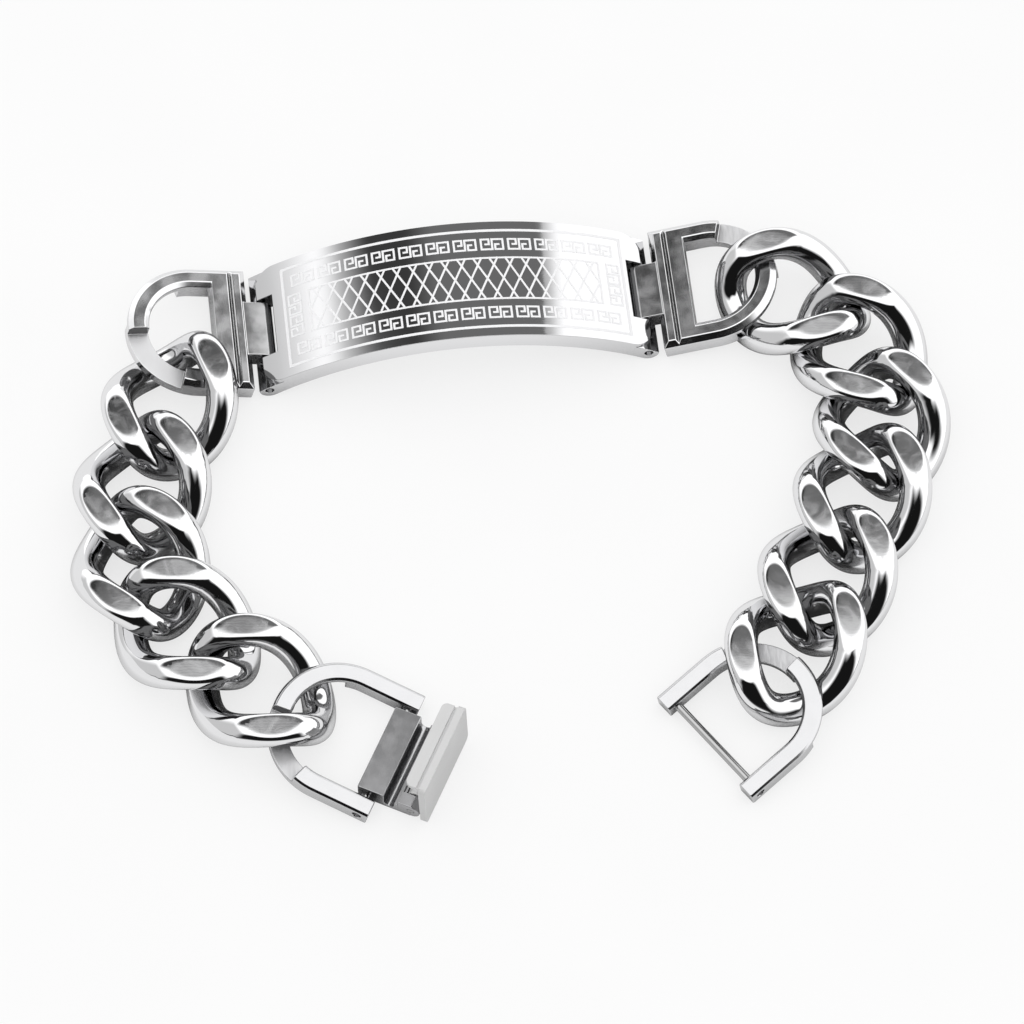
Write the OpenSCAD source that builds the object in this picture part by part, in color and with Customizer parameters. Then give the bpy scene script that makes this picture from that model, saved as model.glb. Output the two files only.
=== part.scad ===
// Curb chain bracelet with an arched plate, unclasped and lying open on a table.
// Millimetres, +Z up. The table is z = 0 and the origin is the middle of the bracelet's footprint.
// Each chain runs from an end ring at the plate, through its links, to a shackle.

/* [Links] */
// Length of a link over its ends
link_length = 19.9; // [19.6:0.1:20]
// Width of a link
link_width = 16.5; // [16.3:0.1:16.7]
// Thickness of the round wire that a link is bent from
wire_d = 3.8; // [3.6:0.1:4]
// Twist of the link at each end, in degrees from the middle
link_twist = 48; // [46:1:50]
// Thickness of the chain after its faces are ground flat
chain_t = 7.2; // [7:0.1:7.4]

/* [Plate] */
// Distance between the two hinge pins of the plate
plate_span = 46; // [45.8:0.1:46.2]
// Width of the plate
plate_width = 16; // [15.6:0.1:16.4]
// Thickness of the plate
plate_t = 2.5; // [2.2:0.1:2.6]
// Radius of the plate's arch, at the middle of its thickness
plate_radius = 42; // [40:0.5:46]
// Direction of the plate's length, seen from above
plate_heading = 6.5; // [6:0.5:7]
// Width of the notch that takes the end ring's tongue
notch_width = 8; // [7.8:0.1:9]
// Depth of the notch past the hinge pin
notch_depth = 1.4; // [1.3:0.1:1.6]
// Depth of the step at the plate's corners
corner_step = 0.6; // [0.3:0.1:0.8]
// Radius of the step at the plate's corners, seen from above
corner_r = 2.4; // [1:0.1:3]

/* [End rings] */
// Width of the D-shaped end rings
ring_width = 16.6; // [16.4:0.1:16.8]
// Thickness of the end rings
ring_t = 2.6; // [2.2:0.1:2.6]
// Distance from the hinge pin to the ring's straight edge
ring_setback = 2; // [1.9:0.1:2.1]
// Width of the straight bar
ring_bar = 4.2; // [4:0.1:4.3]
// Length of the straight arms between the bar and the bow
ring_arm = 2.4; // [2.2:0.1:2.6]
// Width of the bow
ring_bow = 2.6; // [2.4:0.1:2.7]
// Width of the tongue that the hinge pin runs through
tongue_width = 7.4; // [6:0.1:7.5]
// Upward slope of the left end ring, from the hinge to the bow
left_ring_slope = 14.5; // [14:0.5:15.5]
// Upward slope of the right end ring
right_ring_slope = 11.5; // [11:0.5:12.5]

/* [Shackles] */
// Gap between the two legs
shackle_gap = 12.2; // [12:0.1:12.3]
// Width of a leg
leg_width = 2.3; // [2:0.1:2.4]
// Thickness of the shackles
shackle_t = 2.2; // [2:0.1:2.4]
// Distance from the pin to the start of the bow
leg_length = 5.8; // [5:0.1:7]
// Length of the leg past the pin
leg_tail = 1.3; // [1:0.1:2]
// Upward slope of the left shackle, from the pin to the bow
left_shackle_slope = 11.5; // [11.5:0.5:13]
// Upward slope of the right shackle
right_shackle_slope = 10; // [9.5:0.5:10.5]

/* [Pins] */
// Diameter of the hinge and clasp pins
pin_d = 1; // [0.8:0.1:1.2]
// Radial clearance of a pin in its bore
pin_clear = 0.04; // [0.02:0.01:0.1]

/* [Clasp] */
// Length of the clasp block along its pin
block_length = 11; // [10:0.1:11.6]
// Height of the clasp block
block_t = 2.6; // [2.4:0.1:2.8]
// Width of the lever's cover, from its hinge side to its lip
cover_width = 8; // [7.9:0.1:8.3]
// Length of the lever's cover along the hinge
cover_length = 12; // [11.2:0.1:12]
// Inward lean of the open lever
lever_lean = 1.5; // [0:0.5:10]

/* [Hidden] */
$fn = 96;

steel = [0.78, 0.79, 0.80];
brushed = [0.45, 0.45, 0.46];
chamfer = 0.7;
chamfer_drop = 0.55;
groove_offset = 1.9;
groove_depth = 0.35;
tongue_drop = 0.1;
pin_recess = 0.6;
plate_overhang = 0.5;
margin = 1;
pin_r = pin_d / 2;
bore_r = pin_r + pin_clear;
eps = 0.01;
big = 60;

// Layout, seen from above. The plate stands on its hinge ends, and each step goes from
// one piece's centre to the next one's.
plate_centre = [-7.3, 27.9];
hinge_z = ring_t / 2;

BEARING = 0;
STEP = 1;
HEADING = 2;
ROLL = 3;

// One row a link, from the plate on: [bearing of the step, its length, heading, roll]
left_rows = [
    [-103.5, 10.5, -108, 3],
    [-105, 11.6, -97, 0],
    [-89.5, 10.5, -76, 0],
    [-57, 10.4, -42, 1],
    [-40, 11.5, -39, 0]
];
right_rows = [
    [-14.5, 10.3, -25, 3],
    [-43.5, 10.7, -60, 3],
    [-77, 10.4, -89, 1],
    [-105.5, 10, -111, 2],
    [-112.5, 11.7, -113, 0],
    [-113.5, 10.1, -124, 0]
];
// The step from the last link to the shackle's pin, and the direction from the pin to the bow
left_end = [-26.4, 16.3, 157];
right_end = [-131, 14.7, 40];

function dir(a) = [cos(a), sin(a)];
function sum_steps(rows, n) = n < 0 ? [0, 0]
    : sum_steps(rows, n - 1) + rows[n][STEP] * dir(rows[n][BEARING]);

plate_axis = dir(plate_heading);
bow_centre = ring_setback + ring_bar + ring_arm;
bow_r = ring_width / 2;
left_hinge = plate_centre - plate_axis * plate_span / 2;
right_hinge = plate_centre + plate_axis * plate_span / 2;
left_eye = left_hinge - plate_axis * bow_centre * cos(left_ring_slope);
right_eye = right_hinge + plate_axis * bow_centre * cos(right_ring_slope);

function link_centre(eye, rows, n) = eye + sum_steps(rows, n);
left_pin = link_centre(left_eye, left_rows, 4) + left_end[STEP] * dir(left_end[BEARING]);
right_pin = link_centre(right_eye, right_rows, 5) + right_end[STEP] * dir(right_end[BEARING]);

// Links: round wire on an oval, whose two ends are twisted opposite ways about its length,
// with both faces ground flat
quarter_stations = [0, 28, 45, 62];
stations = [for (q = [0 : 3]) for (a = quarter_stations) 90 * q + a];
link_steps = len(stations);
wire_sides = 6;
oval_a = (link_length - wire_d) / 2;
oval_b = (link_width - wire_d) / 2;
ground_z = chain_t / 2;

function unit(v) = v / norm(v);
function oval(t) = [oval_a * cos(t),
                    oval_b * sin(t) * cos(link_twist * cos(t)),
                    -oval_b * sin(t) * sin(link_twist * cos(t))];
function oval_along(t) = unit(oval(t + 1) - oval(t - 1));
function across(v) = unit([v.y, -v.x, 0]);
function wire_point(t, p) = let (along = oval_along(t), out = across(along))
    oval(t) + wire_d / 2 * (cos(p) * out + sin(p) * cross(out, along));
function ground(v) = [v.x, v.y, max(-ground_z, min(ground_z, v.z))];

link_points = [for (i = [0 : link_steps - 1]) for (k = [0 : wire_sides - 1])
    ground(wire_point(stations[i], 360 * k / wire_sides))];

module curb_link() {
    faces = [for (i = [0 : link_steps - 1]) for (k = [0 : wire_sides - 1])
        let (j = (i + 1) % link_steps, m = (k + 1) % wire_sides,
             a = i * wire_sides + k, b = i * wire_sides + m,
             c = j * wire_sides + k, d = j * wire_sides + m)
        for (f = [[a, b, c], [b, d, c]]) f];
    polyhedron(points = link_points, faces = faces, convexity = 6);
}

// Each link rests on the table with its lowest point
module placed_link(eye, rows, n) {
    c = link_centre(eye, rows, n);
    roll = rows[n][ROLL];
    lift = -min([for (v = link_points) sin(roll) * v.y + cos(roll) * v.z]);
    color(steel)
        translate([c.x, c.y, lift])
        rotate([0, 0, rows[n][HEADING]])
        rotate([roll, 0, 0])
        curb_link();
}

// Bevels of a bow's two top edges
OUTER_WIDTH = 0;
OUTER_DROP = 1;
INNER_WIDTH = 2;
INNER_DROP = 3;
ring_bevels = [chamfer, chamfer_drop, 0.6, 0.4];
shackle_bevels = [0.3, 0.3, 0.3, 0.3];

// Section of a bow or an arm: a bar from r = inner to r = outer with its top edges bevelled
module bar_section(inner, outer, t, bevels) {
    polygon([[inner, -t / 2], [outer, -t / 2],
             [outer, t / 2 - bevels[OUTER_DROP]], [outer - bevels[OUTER_WIDTH], t / 2],
             [inner + bevels[INNER_WIDTH], t / 2], [inner, t / 2 - bevels[INNER_DROP]]]);
}

// Recesses in the bows: the angles where they start and end, and their depth
FROM = 0;
TO = 1;
DEPTH = 2;
ring_relief = [4, 74, 1.45];
shackle_relief = [6, 72, 1.4];

module sector(from, to, r) {
    polygon([[0, 0], r * dir(from), r / cos((to - from) / 2) * dir((from + to) / 2), r * dir(to)]);
}

// U-shaped bow with two arms, centred on the bow. The top is lowered where the next link passes
// over it, and the underside is raised where that link passes below.
module bow(inner, outer, t, arm, relief, bevels) {
    difference() {
        union() {
            rotate([0, 0, -90]) rotate_extrude(angle = 180) bar_section(inner, outer, t, bevels);
            for (side = [0, 1])
                mirror([0, side, 0])
                rotate([90, 0, 90])
                translate([0, 0, -arm])
                linear_extrude(height = arm)
                bar_section(inner, outer, t, bevels);
        }
        for (face = [0, 180])
            rotate([face, 0, 0])
            translate([0, 0, t / 2 - relief[DEPTH]])
            linear_extrude(height = t)
            sector(relief[FROM], relief[TO], outer + margin);
    }
}

// What a bevel takes off a top edge: the edge is the z axis and the bar lies on the -x side
module edge_cut() {
    linear_extrude(height = big, center = true)
        polygon([[-chamfer, 0], [0, -chamfer_drop], [margin, -chamfer_drop],
                 [margin, margin], [-chamfer, margin]]);
}

// End ring: a D with a bevelled, grooved bar and a hinge knuckle. The pin is the y axis.
module end_ring() {
    half = ring_width / 2;
    top = ring_t / 2;
    groove_x = ring_setback + groove_offset;
    tongue_r = top - tongue_drop;
    difference() {
        union() {
            translate([bow_centre, 0, 0])
                bow(bow_r - ring_bow, bow_r, ring_t, ring_arm, ring_relief, ring_bevels);
            difference() {
                translate([ring_setback, -half, -top]) cube([ring_bar, ring_width, ring_t]);
                for (side = [0, 1])
                    mirror([0, side, 0])
                    translate([0, half, top])
                    rotate([90, 0, 90])
                    edge_cut();
                translate([ring_setback, 0, top])
                    rotate([90, 0, 180])
                    edge_cut();
            }
            rotate([90, 0, 0]) cylinder(h = tongue_width, r = tongue_r, center = true);
            translate([0, -tongue_width / 2, -tongue_r])
                cube([ring_setback + margin, tongue_width, 2 * tongue_r]);
        }
        rotate([90, 0, 0]) cylinder(h = big, r = bore_r, center = true);
        translate([groove_x, 0, top])
            rotate([90, 0, 0])
            linear_extrude(height = big, center = true)
            polygon([[-groove_depth, eps], [0, -groove_depth], [groove_depth, eps]]);
    }
}

module placed_ring(hinge, heading, slope) {
    color(steel)
        translate([hinge.x, hinge.y, hinge_z])
        rotate([0, 0, heading])
        rotate([0, -slope, 0])
        end_ring();
}

// Plate: an arched slab on two hinge ends, seen with its pins on the y direction at z = 0
arch_drop = sqrt(pow(plate_radius, 2) - pow(plate_span / 2, 2));
half_angle = asin(plate_span / 2 / plate_radius);

module arch_ring(from_r, to_r) {
    difference() {
        circle(r = to_r, $fn = 360);
        circle(r = from_r, $fn = 360);
    }
}

module plate_profile() {
    difference() {
        translate([0, -arch_drop]) arch_ring(plate_radius - plate_t / 2, plate_radius + plate_t / 2);
        translate([0, -arch_drop])
            polygon([[0, 0], 2 * big * dir(90 - half_angle), [2 * big, -2 * big],
                     [-2 * big, -2 * big], 2 * big * dir(90 + half_angle)]);
    }
    for (side = [-1, 1]) translate([side * plate_span / 2, 0]) circle(r = plate_t / 2);
}

module along_y(width) {
    rotate([90, 0, 0]) linear_extrude(height = width, center = true) children();
}

module plate_top_outline() {
    x = plate_span / 2 + plate_overhang - corner_r;
    y = plate_width / 2 - corner_r;
    for (sx = [-1, 1]) for (sy = [-1, 1]) translate([sx * x, sy * y]) circle(r = corner_r);
    square([2 * x, 2 * (y + corner_r)], center = true);
    square([2 * (x + corner_r), 2 * y], center = true);
}

module plate_corner_cut() {
    difference() {
        translate([0, 0, -arch_drop]) along_y(plate_width + margin)
            arch_ring(plate_radius + plate_t / 2 - corner_step, plate_radius + plate_t);
        translate([0, 0, -big]) linear_extrude(height = 2 * big) plate_top_outline();
    }
}

module plate() {
    color(steel)
        translate([plate_centre.x, plate_centre.y, hinge_z])
        rotate([0, 0, plate_heading])
        difference() {
            along_y(plate_width) plate_profile();
            plate_corner_cut();
            for (side = [-1, 1]) {
                translate([side * plate_span / 2, 0, 0]) {
                    rotate([90, 0, 0]) cylinder(h = big, r = bore_r, center = true);
                    translate([side * (big / 2 - notch_depth), 0, 0])
                        cube([big, notch_width, big], center = true);
                }
            }
        }
}

module hinge_pin(hinge) {
    color(steel)
        translate([hinge.x, hinge.y, hinge_z])
        rotate([0, 0, plate_heading])
        rotate([90, 0, 0])
        cylinder(h = plate_width - 2 * pin_recess, r = pin_r, center = true);
}

// Shackle: the pin is the y axis and the bow points along +x
shackle_inner = shackle_gap / 2;
shackle_outer = shackle_inner + leg_width;
function pin_height(slope) = shackle_t / 2 * cos(slope) + leg_tail * sin(slope);

module shackle() {
    difference() {
        translate([leg_length, 0, 0])
            bow(shackle_inner, shackle_outer, shackle_t, leg_length + leg_tail, shackle_relief, shackle_bevels);
        rotate([90, 0, 0]) cylinder(h = big, r = bore_r, center = true);
    }
}

module at_pin(p, heading, slope) {
    translate([p.x, p.y, pin_height(slope)]) rotate([0, 0, heading]) children();
}

module placed_shackle(p, heading, slope) {
    color(steel) at_pin(p, heading, slope) rotate([0, -slope, 0]) shackle();
}

module shackle_pin(p, heading, slope) {
    color(steel) at_pin(p, heading, slope)
        rotate([90, 0, 0]) cylinder(h = 2 * (shackle_outer - pin_recess), r = pin_r, center = true);
}

module at_clasp() {
    at_pin(left_pin, left_end[HEADING], left_shackle_slope) children();
}

// Clasp block: its pin is the y axis, -x points away from the bow, and it lies level
block_front = 1.1;
block_back = 2.2;
slot_w = 1.2;
slot_floor = 0.4;
wall_w = 0.5;
wall_t = 1.5;
base_t = 1;
base_end = 1;
lever_hinge_x = -5.5;
lever_hinge_z = -0.1;
lever_pin_r = 0.4;
barrel_r = 1.1;
barrel_gap = 0.2;
ear_w = 1.6;
ear_reach = -block_back - slot_w - wall_w - lever_hinge_x;

module clasp_block() {
    low = -block_t / 2;
    color(brushed) at_clasp()
        difference() {
            union() {
                translate([-block_back, -block_length / 2, low])
                    cube([block_back + block_front, block_length, block_t]);
                translate([lever_hinge_x, -block_length / 2, low])
                    cube([block_front - lever_hinge_x - base_end, block_length, base_t]);
                translate([-block_back - slot_w - wall_w, -block_length / 2, low])
                    cube([wall_w, block_length, wall_t]);
                for (side = [-1, 1])
                    translate([lever_hinge_x, side * (block_length - ear_w) / 2, lever_hinge_z])
                    along_y(ear_w) {
                        circle(r = barrel_r);
                        translate([0, low - lever_hinge_z]) square([ear_reach, barrel_r + lever_hinge_z - low]);
                    }
            }
            rotate([90, 0, 0]) cylinder(h = big, r = bore_r, center = true);
            translate([-block_back - slot_w / 2, 0, low + slot_w / 2 + slot_floor])
                rotate([90, 0, 0]) cylinder(h = big, r = slot_w / 2, center = true);
            translate([lever_hinge_x, 0, lever_hinge_z])
                rotate([90, 0, 0]) cylinder(h = block_length - 2 * ear_w, r = barrel_r + barrel_gap, center = true);
            translate([lever_hinge_x, 0, lever_hinge_z])
                rotate([90, 0, 0]) cylinder(h = big, r = lever_pin_r + pin_clear, center = true);
        }
}

// Lever, drawn closed with its hinge at the origin and +x towards its lip, then opened
cover_t = 0.8;
cover_top = 2.3;
cover_start = -0.5;
cover_r = 0.7;
lip_depth = 2.6;
lip_t = 0.6;
lip_length = 11.2;
lip_groove = 1.2;
lip_groove_w = 0.35;
lip_groove_depth = 0.25;
web_t = 1.5;
lever_open = 90 - lever_lean;

module rounded(length, width, r) {
    offset(r = r, $fn = 32) offset(delta = -r) square([length, width]);
}

module clasp_lever() {
    x = cover_start + cover_width;
    color(steel) at_clasp()
        translate([lever_hinge_x, 0, lever_hinge_z])
        rotate([0, -lever_open, 0])
        difference() {
            union() {
                translate([cover_start, -cover_length / 2, cover_top - cover_t])
                    linear_extrude(height = cover_t)
                    rounded(cover_width, cover_length, cover_r);
                translate([x - lip_t, lip_length / 2, cover_top - lip_depth])
                    rotate([90, 0, 90])
                    translate([-lip_length, 0])
                    linear_extrude(height = lip_t)
                    rounded(lip_length, lip_depth, cover_r);
                along_y(block_length - 2 * ear_w - 2 * barrel_gap) {
                    circle(r = barrel_r);
                    translate([-barrel_r, 0]) square([web_t, cover_top - cover_t + eps]);
                }
            }
            rotate([90, 0, 0]) cylinder(h = big, r = lever_pin_r + pin_clear, center = true);
            along_y(big) translate([x - lip_groove_depth, cover_top - lip_groove])
                square([lip_groove_depth + eps, lip_groove_w]);
        }
}

module lever_pin() {
    color(steel) at_clasp()
        translate([lever_hinge_x, 0, lever_hinge_z])
        rotate([90, 0, 0]) cylinder(h = block_length, r = lever_pin_r, center = true);
}

plate();
hinge_pin(left_hinge);  // hinge_pin_left
hinge_pin(right_hinge);  // hinge_pin_right
placed_ring(left_hinge, plate_heading + 180, left_ring_slope);  // end_ring_left
placed_ring(right_hinge, plate_heading, right_ring_slope);  // end_ring_right
placed_link(left_eye, left_rows, 0);  // link_left_1
placed_link(left_eye, left_rows, 1);  // link_left_2
placed_link(left_eye, left_rows, 2);  // link_left_3
placed_link(left_eye, left_rows, 3);  // link_left_4
placed_link(left_eye, left_rows, 4);  // link_left_5
placed_link(right_eye, right_rows, 0);  // link_right_1
placed_link(right_eye, right_rows, 1);  // link_right_2
placed_link(right_eye, right_rows, 2);  // link_right_3
placed_link(right_eye, right_rows, 3);  // link_right_4
placed_link(right_eye, right_rows, 4);  // link_right_5
placed_link(right_eye, right_rows, 5);  // link_right_6
placed_shackle(left_pin, left_end[HEADING], left_shackle_slope);  // shackle_left
placed_shackle(right_pin, right_end[HEADING], right_shackle_slope);  // shackle_right
shackle_pin(left_pin, left_end[HEADING], left_shackle_slope);  // clasp_pin
shackle_pin(right_pin, right_end[HEADING], right_shackle_slope);  // clasp_bar
clasp_block();
clasp_lever();
lever_pin();
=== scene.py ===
import math

import bpy
import numpy as np
from mathutils import Matrix, Vector


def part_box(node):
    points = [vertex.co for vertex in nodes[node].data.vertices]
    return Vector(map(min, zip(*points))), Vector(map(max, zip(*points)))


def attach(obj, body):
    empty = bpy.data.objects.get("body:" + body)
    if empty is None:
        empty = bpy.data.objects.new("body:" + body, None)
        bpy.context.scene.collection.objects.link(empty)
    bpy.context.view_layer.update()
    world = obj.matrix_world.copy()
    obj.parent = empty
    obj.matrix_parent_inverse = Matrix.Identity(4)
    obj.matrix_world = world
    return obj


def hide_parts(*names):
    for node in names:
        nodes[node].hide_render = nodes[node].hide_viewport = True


# Looks of a polished steel curb chain bracelet with an etched plate, lying open on a pale table.
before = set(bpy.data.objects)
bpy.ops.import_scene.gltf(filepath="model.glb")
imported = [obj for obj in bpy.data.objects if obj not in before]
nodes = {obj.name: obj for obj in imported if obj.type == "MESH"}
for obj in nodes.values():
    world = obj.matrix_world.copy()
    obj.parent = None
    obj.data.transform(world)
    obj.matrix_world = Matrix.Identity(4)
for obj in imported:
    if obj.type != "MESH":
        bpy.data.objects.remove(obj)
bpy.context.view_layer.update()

MM = 0.001
WHITE = (1, 1, 1, 1)

# Camera: it looks down on the middle of the bracelet from the front
CAMERA_ELEVATION = 62
CAMERA_DISTANCE = 560 * MM
CAMERA_AIM = Vector((-0.1, 1.5, 0)) * MM
CAMERA_CLIP = (10 * MM, 10)
FOCAL_PIXELS = 4704
FRAME_PIXELS = 1024
SENSOR_WIDTH = 36

# Links: twisted ovals of round wire with two ground faces, in millimetres and degrees. A ground
# face is highest at its place round the oval and falls off to both sides of it.
LINK_LENGTH = 19.9
LINK_WIDTH = 16.5
WIRE_D = 3.9
LINK_TWIST = 48
TOP_FACE_AT = 135
BOTTOM_FACE_AT = 45
GROUND_HEIGHT = 3.69
GROUND_FALL = 0.17
GROUND_HALF_TURN = 30
GROUND_ROUNDING = 0.2
NARROWEST_FACE = 0.25
LINK_STATIONS = 144
ARC_STEPS = 18
FACE_STEPS = 22
TANGENT_STEP = 0.01

# Plate pattern, in millimetres, seen from above: x runs along the plate and y towards its back
PLATE_CENTRE = (-7.3, 27.9)
PLATE_HEADING = 6.5
ARCH_RADIUS = 43.25
ETCH_HEIGHT = 0.012
ETCH_DEPTH = 0.06
STRIP_STEP = 0.9
PATTERN_SHIFT = 0.4
FRAME_HALF = (20.6, 6.7)
FRAME_LINE = 0.34
LATTICE_HALF = (17.6, 2.85)
LATTICE_PITCH = 1.95
LATTICE_SLOPE = 0.516
LATTICE_LINE = 0.24
MEANDER_LINE = 0.25
MEANDER_SIZE = (2.64, 1.4)
MEANDER_PITCH = 3.3
MEANDER_COUNT = 12
MEANDER_Y = 4.75
COLUMN_X = 19.35
COLUMN_PITCH = 2.95

# Centre line of one meander: two square hooks joined at the middle, in shares of its size
MEANDER_PATH = [
    (0.2, 0.5), (0.36, 0.5), (0.36, 1), (0, 1), (0, 0), (0.5, 0),
    (0.5, 1), (1, 1), (1, 0), (0.64, 0), (0.64, 0.5), (0.8, 0.5),
]

# Steel: colours, roughness from the smoothest to the roughest spots, and headings in degrees.
# The scale of a noise is how many of its features lie along a metre.
RING_COLOUR = (0.9, 0.9, 0.91)
# The shackles get a darker copy of the ring steel, so that their polished tops mirror grey:
# painted shade
SHADED_SHACKLE_COLOUR = (0.74, 0.74, 0.75)
RING_ROUGH = (0.09, 0.2)
GROUND_COLOUR = (0.86, 0.86, 0.87, 1)
GROUND_ROUGH = (0.1, 0.24)
ETCHED_COLOURS = ((0.86, 0.86, 0.87, 1), (0.97, 0.97, 0.98, 1))
ETCHED_ROUGH = (0.5, 0.7)
ETCHED_METALLIC = 0.1
NOISE_RANGE = (0.3, 0.7)
CLASP_BRUSHING = 24
SCRATCH_SCALE = 9000
SWELL_SCALE = 320
SWELL_HEIGHT = 0.35
BUMP_DISTANCE = 0.06 * MM
ETCHED_BUMP_DISTANCE = 0.03 * MM

# Recesses of the rings and shackles: how far below the top they start, and their satin finish
RECESS_DEPTH = 0.9 * MM
RECESS_EDGE = 0.05 * MM
RECESS_FACING = (0.8, 0.95)
RECESS_ROUGH = (0.36, 0.5)
HATCH_SCALE = 5000
HATCH_HEADING = 30
HATCH_RANGE = (0.35, 0.65)
UPWARD = 0.5

# Finish of the CAD pieces, in millimetres and degrees
WELD_DISTANCE = 0.002
FLAT_ANGLE = 0.5
BEVEL_ANGLE = 24
SHARP_ANGLE = 30

# Table: its own tones, and the painted tones, with painted shade, in which the steel mirrors it
TABLE_HALF = 3
TABLE_TONES = (0.21, 0.23)
TABLE_GLOW = 0.727
NEAR_AND_FAR = (1 * MM, 12 * MM)
NEAR_AND_FAR_TONES = (0.62, 0.85)
PAINTED_SHADE_REACH = 9 * MM
PAINTED_SHADE_RANGE = (0.3, 0.62)
PAINTED_SHADE_TONE = 0.03
FRONT_SHADE_RANGE = (-110 * MM, -55 * MM)
FRONT_SHADE_TONE = 0.05

# Studio, by direction from the object: x to the right, y to the back and z up, each at most one.
# A pair is where a soft edge starts and where it ends. The right side of the patch is measured
# along x - PATCH_SLANT * (y - PATCH_SLANT_Y), and the dark front along DARK_FRONT_LEAN * z - y.
PATCH_BACK = (0.30, 0.48)
PATCH_BOTTOM = (0.60, 0.72)
PATCH_LEFT = (-0.76, -0.38)
PATCH_SLANT = 1.6
PATCH_SLANT_Y = 0.55
PATCH_STEP = (0.4, 0.408)
PATCH_STEP_SHARE = 0.32
PATCH_FADE = (0.408, 0.49)
PATCH_MIDDLE = (-0.24, -0.06)
PATCH_DARKNESS = (0.97, 0.88)
DARK_FRONT = (0.52, 0.76)
DARK_FRONT_LEAN = 0.3
DARK_FRONT_TOP = (0.80, 0.92)
GREY_END = (-0.84, -0.58)
GREY_END_DARKNESS = 0.5
MIRRORED_STRENGTH = 1.2
MIRRORED_LEAST = 0.008
TWICE_MIRRORED = 0.12
SOFT_LIGHT_EDGE = (0.2, 0.65)
SOFT_LIGHT = 1.3


# Small helpers for node trees
def add_node(tree, kind, inputs=None, **settings):
    made = tree.nodes.new(kind)
    for key, value in settings.items():
        setattr(made, key, value)
    for key, value in (inputs or {}).items():
        if isinstance(value, bpy.types.NodeSocket):
            tree.links.new(value, made.inputs[key])
        else:
            made.inputs[key].default_value = value
    return made


def maths(tree, operation, a, b=0.0, c=0.0):
    return add_node(tree, "ShaderNodeMath", {0: a, 1: b, 2: c}, operation=operation).outputs[0]


def product(tree, first, *others):
    for other in others:
        first = maths(tree, "MULTIPLY", first, other)
    return first


def dot(tree, a, b):
    made = add_node(tree, "ShaderNodeVectorMath", {0: a, 1: b}, operation="DOT_PRODUCT")
    return made.outputs["Value"]


def ramp_between(tree, value, low, high, to_low=0.0, to_high=1.0):
    made = add_node(
        tree, "ShaderNodeMapRange",
        {"Value": value, "From Min": low, "From Max": high, "To Min": to_low, "To Max": to_high},
        interpolation_type="SMOOTHSTEP",
    )
    return made.outputs["Result"]


def mixed(tree, share, first, second):
    return add_node(tree, "ShaderNodeMix", {"Factor": share, 2: first, 3: second}).outputs[0]


def mixed_colour(tree, share, first, second):
    made = add_node(
        tree, "ShaderNodeMix", {"Factor": share, 6: first, 7: second}, data_type="RGBA",
    )
    return made.outputs[2]


def object_point(tree, scale=(1, 1, 1), heading=0):
    place = add_node(tree, "ShaderNodeTexCoord").outputs["Object"]
    turn = (0, 0, math.radians(heading))
    made = add_node(tree, "ShaderNodeMapping", {"Vector": place, "Scale": scale, "Rotation": turn})
    return made.outputs["Vector"]


def noise(tree, point, scale, detail=2.0, distortion=0.0):
    made = add_node(
        tree, "ShaderNodeTexNoise",
        {"Vector": point, "Scale": scale, "Detail": detail, "Distortion": distortion},
    )
    return made.outputs["Fac"]


def add_bump(tree, shader, height, strength, distance):
    made = add_node(
        tree, "ShaderNodeBump", {"Height": height, "Strength": strength, "Distance": distance},
    )
    tree.links.new(made.outputs["Normal"], shader.inputs["Normal"])


def new_material(name):
    material = bpy.data.materials.new(name)
    material.use_nodes = True
    tree = material.node_tree
    tree.nodes.clear()
    shader = add_node(tree, "ShaderNodeBsdfPrincipled")
    add_node(tree, "ShaderNodeOutputMaterial", {"Surface": shader.outputs["BSDF"]})
    return material, tree, shader


def new_object(name, data):
    made = bpy.data.objects.new(name, data)
    bpy.context.scene.collection.objects.link(made)
    return made


# One on the faces that look along up and lie below the level, zero elsewhere
def in_recess(tree, up, level):
    facing = dot(tree, add_node(tree, "ShaderNodeNewGeometry").outputs["Normal"], up)
    height = dot(tree, add_node(tree, "ShaderNodeTexCoord").outputs["Object"], up)
    low = ramp_between(tree, height, level - RECESS_EDGE, level, 1, 0)
    return product(tree, low, ramp_between(tree, facing, *RECESS_FACING))


# Steel: a metal whose roughness varies in soft patches, with fine scratches along one direction.
# A recess is given by its upward direction and the level below which it lies.
def steel(name, colour, rough, patch_scale, scratch, stretch=(1, 1, 1), heading=0, metallic=1,
          recess=None):
    material, tree, shader = new_material(name)
    shader.inputs["Base Color"].default_value = (*colour, 1)
    shader.inputs["Metallic"].default_value = metallic
    patches = noise(tree, object_point(tree), patch_scale, detail=3)
    roughness = ramp_between(tree, patches, *NOISE_RANGE, *rough)
    if recess:
        hatched = noise(tree, object_point(tree, (1, 0.1, 1), HATCH_HEADING), HATCH_SCALE)
        satin = ramp_between(tree, hatched, *HATCH_RANGE, *RECESS_ROUGH)
        roughness = mixed(tree, in_recess(tree, *recess), roughness, satin)
    tree.links.new(roughness, shader.inputs["Roughness"])
    along = object_point(tree, stretch, heading)
    lines = noise(tree, along, SCRATCH_SCALE, detail=3, distortion=0.4)
    swell = noise(tree, object_point(tree), SWELL_SCALE)
    height = maths(
        tree, "ADD",
        maths(tree, "MULTIPLY", lines, scratch), maths(tree, "MULTIPLY", swell, SWELL_HEIGHT),
    )
    add_bump(tree, shader, height, strength=0.12, distance=BUMP_DISTANCE)
    return material


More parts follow.
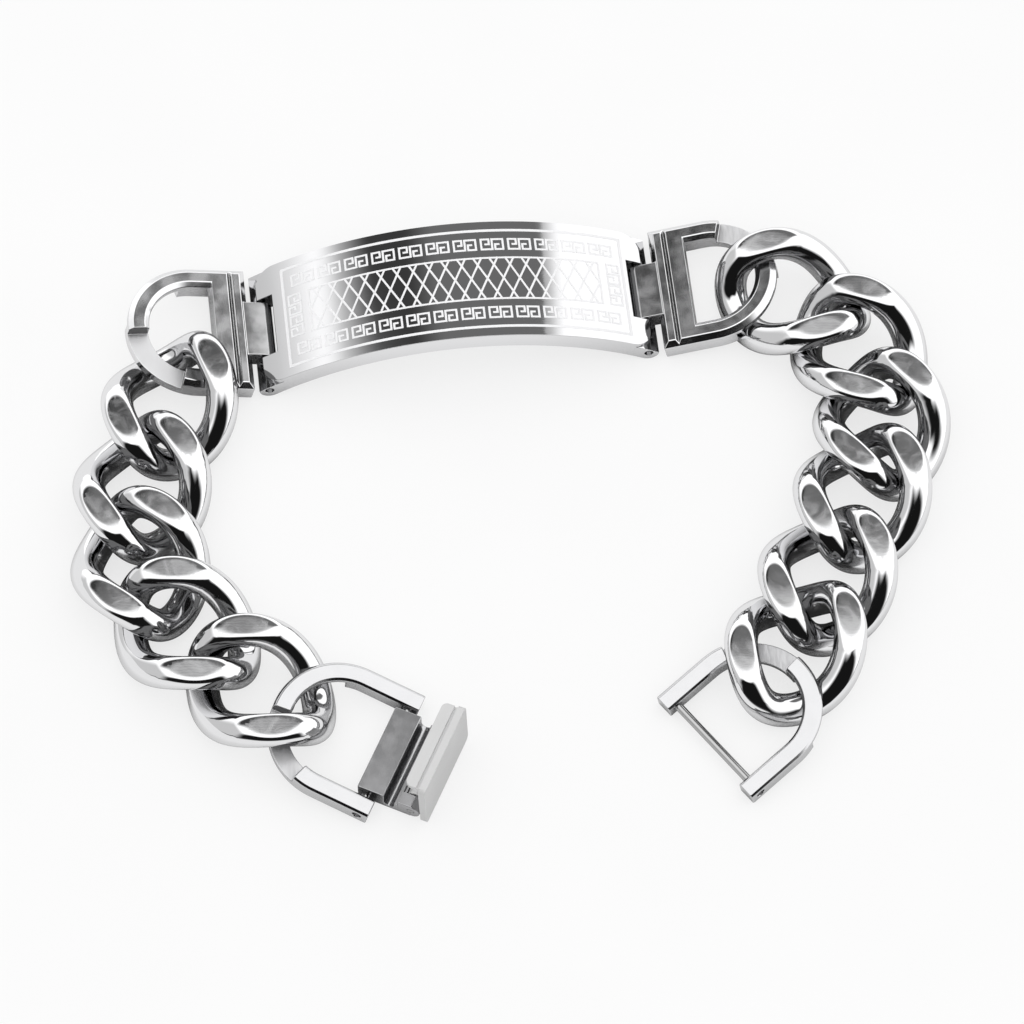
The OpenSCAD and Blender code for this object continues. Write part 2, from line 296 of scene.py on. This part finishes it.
# Ground faces of the links: the same steel, with arcs left by the wheel
def ground_steel():
    material, tree, shader = new_material("ground_steel")
    shader.inputs["Base Color"].default_value = GROUND_COLOUR
    shader.inputs["Metallic"].default_value = 1
    point = object_point(tree)
    patches = noise(tree, point, scale=420, detail=4, distortion=1.2)
    roughness = ramp_between(tree, patches, 0.35, 0.7, *GROUND_ROUGH)
    tree.links.new(roughness, shader.inputs["Roughness"])
    arcs = add_node(
        tree, "ShaderNodeTexWave",
        {"Vector": point, "Scale": 900, "Distortion": 7, "Detail": 3, "Detail Scale": 2.5},
        wave_type="RINGS",
    )
    height = maths(tree, "ADD", maths(tree, "MULTIPLY", arcs.outputs["Fac"], 0.12), patches)
    add_bump(tree, shader, height, strength=0.06, distance=BUMP_DISTANCE)
    return material


def etched_steel():
    material, tree, shader = new_material("etched_steel")
    grains = noise(tree, object_point(tree), scale=6000, detail=4)
    tree.links.new(mixed_colour(tree, grains, *ETCHED_COLOURS), shader.inputs["Base Color"])
    shader.inputs["Metallic"].default_value = ETCHED_METALLIC
    roughness = ramp_between(tree, grains, *NOISE_RANGE, *ETCHED_ROUGH)
    tree.links.new(roughness, shader.inputs["Roughness"])
    add_bump(tree, shader, grains, strength=0.3, distance=ETCHED_BUMP_DISTANCE)
    return material


# Rings and shackles: the recess that takes the next link is satin, their flat top is polished
def ring_steel(node_name, colour):
    mesh = nodes[node_name].data
    areas = {}
    for face in mesh.polygons:
        if face.normal.z > UPWARD:
            key = tuple(round(v, 3) for v in face.normal)
            areas[key] = areas.get(key, 0) + face.area
    up = Vector(max(areas, key=areas.get))
    top = max(up.dot(v.co) for v in mesh.vertices)
    return steel(
        node_name + "_steel", colour, RING_ROUGH, patch_scale=380, scratch=0.05,
        recess=(tuple(up), top - RECESS_DEPTH),
    )


MIRROR = steel("polished_steel", (0.90, 0.90, 0.91), (0.025, 0.07), patch_scale=260, scratch=0.05)
PLATE_STEEL = steel(
    "plate_steel", (0.88, 0.88, 0.89), (0.02, 0.05), patch_scale=160, scratch=0.05,
    stretch=(0.08, 1, 1), heading=-PLATE_HEADING,
)
GROUND = ground_steel()
BLOCK_STEEL = steel(
    "brushed_block", (0.60, 0.60, 0.61), (0.08, 0.24), patch_scale=500, scratch=0.9,
    stretch=(1, 0.05, 1), heading=CLASP_BRUSHING,
)
SATIN = steel(
    "satin_lever", (0.66, 0.66, 0.66), (0.42, 0.56), patch_scale=300, scratch=0.8,
    stretch=(1, 0.05, 1), heading=CLASP_BRUSHING, metallic=0.15,
)
PIN_STEEL = steel(
    "pin_steel", (0.55, 0.55, 0.55), (0.08, 0.16), patch_scale=700, scratch=0.4,
    stretch=(0.1, 1, 1),
)
ETCHED = etched_steel()

# A row for each CAD piece that stays: its steel, the width of its rounded edges in millimetres,
# and whether they narrow where two of them would meet
FINISHES = [("plate", PLATE_STEEL, 0.05, False)]
FINISHES += [
    (f"{kind}_{side}", ring_steel(f"{kind}_{side}", colour), edge, False)
    for kind, colour, edge in (("end_ring", RING_COLOUR, 0.1), ("shackle", SHADED_SHACKLE_COLOUR, 0.12))
    for side in ("left", "right")
]
FINISHES += [("clasp_block", BLOCK_STEEL, 0.1, False), ("clasp_lever", SATIN, 0.1, True)]
FINISHES += [
    (pin, PIN_STEEL, 0.06, True)
    for pin in ("hinge_pin_left", "hinge_pin_right", "clasp_pin", "clasp_bar", "lever_pin")
]


def new_piece(name, vertices, faces, materials, indices, node_names):
    mesh = bpy.data.meshes.new(name)
    mesh.from_pydata([tuple(v) for v in vertices], [], faces)
    for material in materials:
        mesh.materials.append(material)
    mesh.polygons.foreach_set("material_index", indices)
    mesh.polygons.foreach_set("use_smooth", [True] * len(faces))
    mesh.update()
    mesh.set_sharp_from_angle(angle=math.radians(SHARP_ANGLE))
    made = new_object(name, mesh)
    if node_names:
        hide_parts(*node_names)
    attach(made, "bracelet")


# The high resolution link, in its own frame. Each section is a circle whose top and bottom are cut
# off by the ground faces, so the faces' rims are true edges of the mesh.
def oval(t):
    turn = math.radians(LINK_TWIST) * math.cos(t)
    half_length = (LINK_LENGTH - WIRE_D) / 2
    half_width = (LINK_WIDTH - WIRE_D) / 2
    across = half_width * math.sin(t)
    return Vector((half_length * math.cos(t), across * math.cos(turn), -across * math.sin(turn)))


def ground_level(t, first_face):
    away = min(
        abs((math.degrees(t) - face + 180) % 360 - 180) for face in (first_face, first_face + 180)
    )
    return GROUND_HEIGHT - GROUND_FALL * (away / GROUND_HALF_TURN) ** 2


def cut_sine(level, centre_height, rise):
    return (level - centre_height) / (rise * WIRE_D / 2)


# The lesser of two heights, with a rounded corner where they cross
def soft_least(a, b, rounding):
    share = max(0, min(1, 0.5 + 0.5 * (b - a) / rounding))
    return b + (a - b) * share - rounding * share * (1 - share)


def face_edge(sine):
    half_face = math.sqrt(max(0, 1 - max(0, sine - GROUND_ROUNDING) ** 2))
    return math.acos(max(NARROWEST_FACE, half_face))


def link_section(t):
    centre = oval(t)
    along = (oval(t + TANGENT_STEP) - oval(t - TANGENT_STEP)).normalized()
    out = Vector((along.y, -along.x, 0)).normalized()
    up = out.cross(along)
    top = cut_sine(ground_level(t, TOP_FACE_AT), centre.z, up.z)
    bottom = cut_sine(ground_level(t, BOTTOM_FACE_AT), -centre.z, up.z)
    p_top = face_edge(top)
    p_bottom = face_edge(bottom)
    points = []
    ground = []

    def arc(start, end):
        for k in range(ARC_STEPS):
            p = start + (end - start) * k / ARC_STEPS
            points.append((math.cos(p), math.sin(p)))
            ground.append(0)

    def face(p_edge, sine, side):
        edge = math.cos(p_edge)
        for k in range(FACE_STEPS):
            x = edge * (1 - 2 * k / FACE_STEPS)
            middle = edge * (1 - 2 * (k + 0.5) / FACE_STEPS)
            circle = math.sqrt(1 - x * x)
            points.append((side * x, side * soft_least(circle, sine, GROUND_ROUNDING)))
            cut = math.sqrt(1 - middle * middle) > sine + GROUND_ROUNDING / 2
            ground.append(1 if cut else 0)

    arc(-p_bottom, p_top)
    face(p_top, top, 1)
    arc(math.pi - p_top, math.pi + p_bottom)
    face(p_bottom, bottom, -1)
    radius = WIRE_D / 2
    return [(centre + radius * (x * out + z * up)) * MM for x, z in points], ground


def link_shape():
    vertices = []
    faces = []
    indices = []
    for i in range(LINK_STATIONS):
        section, ground = link_section(2 * math.pi * i / LINK_STATIONS)
        count = len(section)
        vertices += section
        after = (i + 1) % LINK_STATIONS
        for k in range(count):
            m = (k + 1) % count
            faces.append((i * count + k, after * count + k, after * count + m, i * count + m))
            indices.append(ground[k])
    return vertices, faces, indices


def tetrahedron_volumes(a, b, c):
    return np.einsum("ij,ij->i", a, np.cross(b, c)) / 6


# Where a CAD link lies: its centre of volume and its principal axes. The link looks the same after
# half a turn about any of them, so their signs don't matter as long as they are right-handed.
def placement(node_name):
    mesh = nodes[node_name].data
    mesh.calc_loop_triangles()
    points = np.array([v.co for v in mesh.vertices])
    corners = points[np.array([t.vertices[:] for t in mesh.loop_triangles])]
    a, b, c = corners[:, 0], corners[:, 1], corners[:, 2]
    volumes = tetrahedron_volumes(a, b, c)
    centre = ((a + b + c) / 4 * volumes[:, None]).sum(0) / volumes.sum()
    a, b, c = a - centre, b - centre, c - centre
    volumes = tetrahedron_volumes(a, b, c)
    spread = sum(np.einsum("k,ki,kj->ij", volumes, p, p) for p in (a, b, c, a + b + c)) / 20
    axes = np.linalg.eigh(spread)[1][:, ::-1].copy()
    if np.linalg.det(axes) < 0:
        axes[:, 1] *= -1
    matrix = Matrix(axes.tolist()).to_4x4()
    matrix.translation = Vector(centre.tolist())
    return matrix


def make_links():
    vertices, faces, indices = link_shape()
    for node_name in sorted(n for n in nodes if n.startswith("link_")):
        matrix = placement(node_name)
        placed = [matrix @ v for v in vertices]
        # It rests on the table with its lowest point, as the CAD link does
        lift = Vector((0, 0, -min(v.z for v in placed)))
        placed = [v + lift for v in placed]
        new_piece(
            node_name + "_wire", placed, faces, [MIRROR, GROUND], indices, [node_name],
        )


# Etched pattern: thin strips laid on the arch, drawn flat and dropped straight down onto it
class Strips:
    def __init__(self):
        self.vertices = []
        self.faces = []
        self.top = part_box("plate")[1].z / MM
        turn = math.radians(PLATE_HEADING)
        self.along = Vector((math.cos(turn), math.sin(turn)))
        self.back = Vector((-math.sin(turn), math.cos(turn)))

    def on_arch(self, x, y, rise):
        x += PATTERN_SHIFT
        height = self.top - ARCH_RADIUS + math.sqrt((ARCH_RADIUS + rise) ** 2 - x * x)
        place = Vector(PLATE_CENTRE) + self.along * x + self.back * y
        return Vector((place.x, place.y, height)) * MM

    def segment(self, a, b, side):
        n = len(self.vertices)
        for rise in (-ETCH_DEPTH, ETCH_HEIGHT):
            for p in (a + side, a - side, b - side, b + side):
                self.vertices.append(self.on_arch(p.x, p.y, rise))
        self.faces += [
            (n, n + 1, n + 2, n + 3), (n + 7, n + 6, n + 5, n + 4), (n, n + 4, n + 5, n + 1),
            (n + 1, n + 5, n + 6, n + 2), (n + 2, n + 6, n + 7, n + 3), (n + 3, n + 7, n + 4, n),
        ]

    def line(self, a, b, width):
        a, b = Vector(a), Vector(b)
        along = (b - a).normalized()
        a, b = a - along * width / 2, b + along * width / 2
        side = Vector((-along.y, along.x)) * width / 2
        steps = max(1, math.ceil(abs(b.x - a.x) / STRIP_STEP))
        for k in range(steps):
            self.segment(a.lerp(b, k / steps), a.lerp(b, (k + 1) / steps), side)

    def path(self, points, width):
        for a, b in zip(points, points[1:]):
            self.line(a, b, width)

    def rectangle(self, half, width):
        x, y = half
        self.path([(-x, -y), (x, -y), (x, y), (-x, y), (-x, -y)], width)


def lattice(strips):
    half_x, half_y = LATTICE_HALF
    strips.rectangle(LATTICE_HALF, LATTICE_LINE)
    reach = half_y * LATTICE_SLOPE
    count = int((half_x + reach) / LATTICE_PITCH)
    for k in range(-count, count + 1):
        for lean in (-1, 1):
            x_low = k * LATTICE_PITCH - lean * reach
            x_high = k * LATTICE_PITCH + lean * reach
            ends = []
            for x, y in ((x_low, -half_y), (x_high, half_y)):
                inside = max(-half_x, min(half_x, x))
                ends.append((inside, y + (inside - x) / (lean * LATTICE_SLOPE)))
            strips.line(ends[0], ends[1], LATTICE_LINE)


def meander(strips, centre, quarter_turns):
    width, height = MEANDER_SIZE
    turn = Matrix.Rotation(math.radians(90 * quarter_turns), 2)
    points = [
        Vector(centre) + turn @ Vector(((x - 0.5) * width, (y - 0.5) * height))
        for x, y in MEANDER_PATH
    ]
    strips.path(points, MEANDER_LINE)


def make_pattern():
    strips = Strips()
    strips.rectangle(FRAME_HALF, FRAME_LINE)
    lattice(strips)
    for row in (-1, 1):
        for k in range(MEANDER_COUNT):
            x = (k - (MEANDER_COUNT - 1) / 2) * MEANDER_PITCH
            meander(strips, (x, row * MEANDER_Y), 0)
    for column in (-1, 1):
        for row in (-0.5, 0.5):
            meander(strips, (column * COLUMN_X, row * COLUMN_PITCH), 1)
    indices = [0] * len(strips.faces)
    new_piece(
        "etched_pattern", strips.vertices, strips.faces, [ETCHED], indices, [],
    )


# CAD pieces keep their shape and get small rounded edges and a finish
def finish_node(node_name, material, edge, kept_clear):
    made = nodes[node_name]
    mesh = made.data
    mesh.materials.clear()
    mesh.materials.append(material)
    bpy.context.view_layer.objects.active = made
    bpy.ops.mesh.customdata_custom_splitnormals_clear()
    mesh.polygons.foreach_set("use_smooth", [True] * len(mesh.polygons))
    weld = made.modifiers.new("weld", "WELD")
    weld.merge_threshold = WELD_DISTANCE * MM
    flat = made.modifiers.new("flat", "DECIMATE")
    flat.decimate_type = "DISSOLVE"
    flat.angle_limit = math.radians(FLAT_ANGLE)
    bevel = made.modifiers.new("edges", "BEVEL")
    bevel.width = edge * MM
    bevel.segments = 2
    bevel.limit_method = "ANGLE"
    bevel.angle_limit = math.radians(BEVEL_ANGLE)
    bevel.use_clamp_overlap = kept_clear
    bevel.harden_normals = True


# A pale table. In the steel it shows painted shade in place of its real look: grey close by and
# paler further off, and dark where pieces stand over it and in front of the object.
def make_floor():
    material, tree, shader = new_material("table")
    tones = [(tone, tone, tone, 1) for tone in TABLE_TONES]
    tint = mixed_colour(tree, noise(tree, object_point(tree), scale=40), *tones)
    tree.links.new(tint, shader.inputs["Base Color"])
    shader.inputs["Roughness"].default_value = 0.8
    shader.inputs["Specular IOR Level"].default_value = 0.1
    shader.inputs["Emission Color"].default_value = WHITE
    shader.inputs["Emission Strength"].default_value = TABLE_GLOW
    path = add_node(tree, "ShaderNodeLightPath")
    parts = add_node(tree, "ShaderNodeSeparateXYZ", {"Vector": object_point(tree)})
    # Painted shade for what the steel mirrors: darker close by, under and between the pieces, and
    # in front
    open_share = add_node(
        tree, "ShaderNodeAmbientOcclusion", {"Distance": PAINTED_SHADE_REACH}, samples=6
    ).outputs["AO"]
    pale = ramp_between(tree, path.outputs["Ray Length"], *NEAR_AND_FAR, *NEAR_AND_FAR_TONES)
    clear = ramp_between(tree, open_share, *PAINTED_SHADE_RANGE, PAINTED_SHADE_TONE, 1)
    painted_front_shade = ramp_between(tree, parts.outputs["Y"], *FRONT_SHADE_RANGE, FRONT_SHADE_TONE, 1)
    mirrored = add_node(
        tree, "ShaderNodeEmission", {"Color": WHITE, "Strength": product(tree, pale, clear, painted_front_shade)}
    )
    both = add_node(
        tree, "ShaderNodeMixShader",
        {0: path.outputs["Is Glossy Ray"], 1: shader.outputs["BSDF"], 2: mirrored.outputs[0]},
    )
    output = next(n for n in tree.nodes if n.type == "OUTPUT_MATERIAL")
    tree.links.new(both.outputs[0], output.inputs["Surface"])
    mesh = bpy.data.meshes.new("table")
    size = TABLE_HALF
    corners = [(-size, -size, 0), (size, -size, 0), (size, size, 0), (-size, size, 0)]
    mesh.from_pydata(corners, [], [(0, 1, 2, 3)])
    mesh.materials.append(material)
    floor = new_object("table", mesh)


# Less than one where the studio is seen by way of two mirrors, so that narrow places between
# pieces turn dark
def once_mirrored(tree):
    depth = add_node(tree, "ShaderNodeLightPath").outputs["Glossy Depth"]
    return ramp_between(tree, depth, 1, 2, 1, TWICE_MIRRORED)


# A bright tent, with a dark patch behind the object, a dark front and a grey end at the left
def make_world():
    world = bpy.data.worlds.new("studio")
    bpy.context.scene.world = world
    world.use_nodes = True
    tree = world.node_tree
    tree.nodes.clear()
    place = add_node(tree, "ShaderNodeTexCoord").outputs["Generated"]
    x, y, z = add_node(tree, "ShaderNodeSeparateXYZ", {"Vector": place}).outputs
    # The patch is high up and soft at its left. Its right side slants, with a sharp step and then
    # a fade.
    behind = ramp_between(tree, y, *PATCH_BACK)
    high = ramp_between(tree, z, *PATCH_BOTTOM)
    left = ramp_between(tree, x, *PATCH_LEFT)
    shift = maths(tree, "MULTIPLY_ADD", y, -PATCH_SLANT, PATCH_SLANT * PATCH_SLANT_Y)
    slanted = maths(tree, "ADD", x, shift)
    step = ramp_between(tree, slanted, *PATCH_STEP, 1, 0)
    fade = ramp_between(tree, slanted, *PATCH_FADE, 1 - PATCH_STEP_SHARE, 0)
    right = maths(tree, "MULTIPLY_ADD", step, PATCH_STEP_SHARE, fade)
    depth = ramp_between(tree, x, *PATCH_MIDDLE, *PATCH_DARKNESS)
    patch = product(tree, behind, high, left, right, depth)
    # The front is dark up to well above the horizon
    facing = maths(tree, "MULTIPLY_ADD", z, DARK_FRONT_LEAN, maths(tree, "MULTIPLY", y, -1.0))
    front = ramp_between(tree, facing, *DARK_FRONT)
    low = ramp_between(tree, z, *DARK_FRONT_TOP, 1, 0)
    seen_from = maths(tree, "MULTIPLY", front, low)
    end = ramp_between(tree, x, *GREY_END, GREY_END_DARKNESS, 0)
    bright = product(
        tree, *(maths(tree, "SUBTRACT", 1.0, dark) for dark in (patch, seen_from, end))
    )
    mirrored = maths(
        tree, "MULTIPLY_ADD", product(tree, bright, once_mirrored(tree)),
        MIRRORED_STRENGTH, MIRRORED_LEAST,
    )
    # Matt surfaces are lit from well above the horizon, so that shadows stay close to the pieces
    soft = ramp_between(tree, z, *SOFT_LIGHT_EDGE, 0, SOFT_LIGHT)
    matt = add_node(tree, "ShaderNodeLightPath").outputs["Is Diffuse Ray"]
    strength = mixed(tree, matt, mirrored, soft)
    back = add_node(tree, "ShaderNodeBackground", {"Color": WHITE, "Strength": strength})
    add_node(tree, "ShaderNodeOutputWorld", {"Surface": back.outputs["Background"]})


def make_camera():
    data = bpy.data.cameras.new("camera")
    camera = new_object("camera", data)
    elevation = math.radians(CAMERA_ELEVATION)
    back = Vector((0, -math.cos(elevation), math.sin(elevation)))
    camera.location = CAMERA_AIM + back * CAMERA_DISTANCE
    camera.rotation_euler = (math.pi / 2 - elevation, 0, 0)
    data.sensor_width = SENSOR_WIDTH
    data.lens = SENSOR_WIDTH * FOCAL_PIXELS / FRAME_PIXELS
    data.clip_start, data.clip_end = CAMERA_CLIP
    bpy.context.scene.camera = camera


make_camera()
make_world()
make_floor()
for finish in FINISHES:
    finish_node(*finish)
make_links()
make_pattern()
bpy.context.scene.view_settings.view_transform = "Standard"
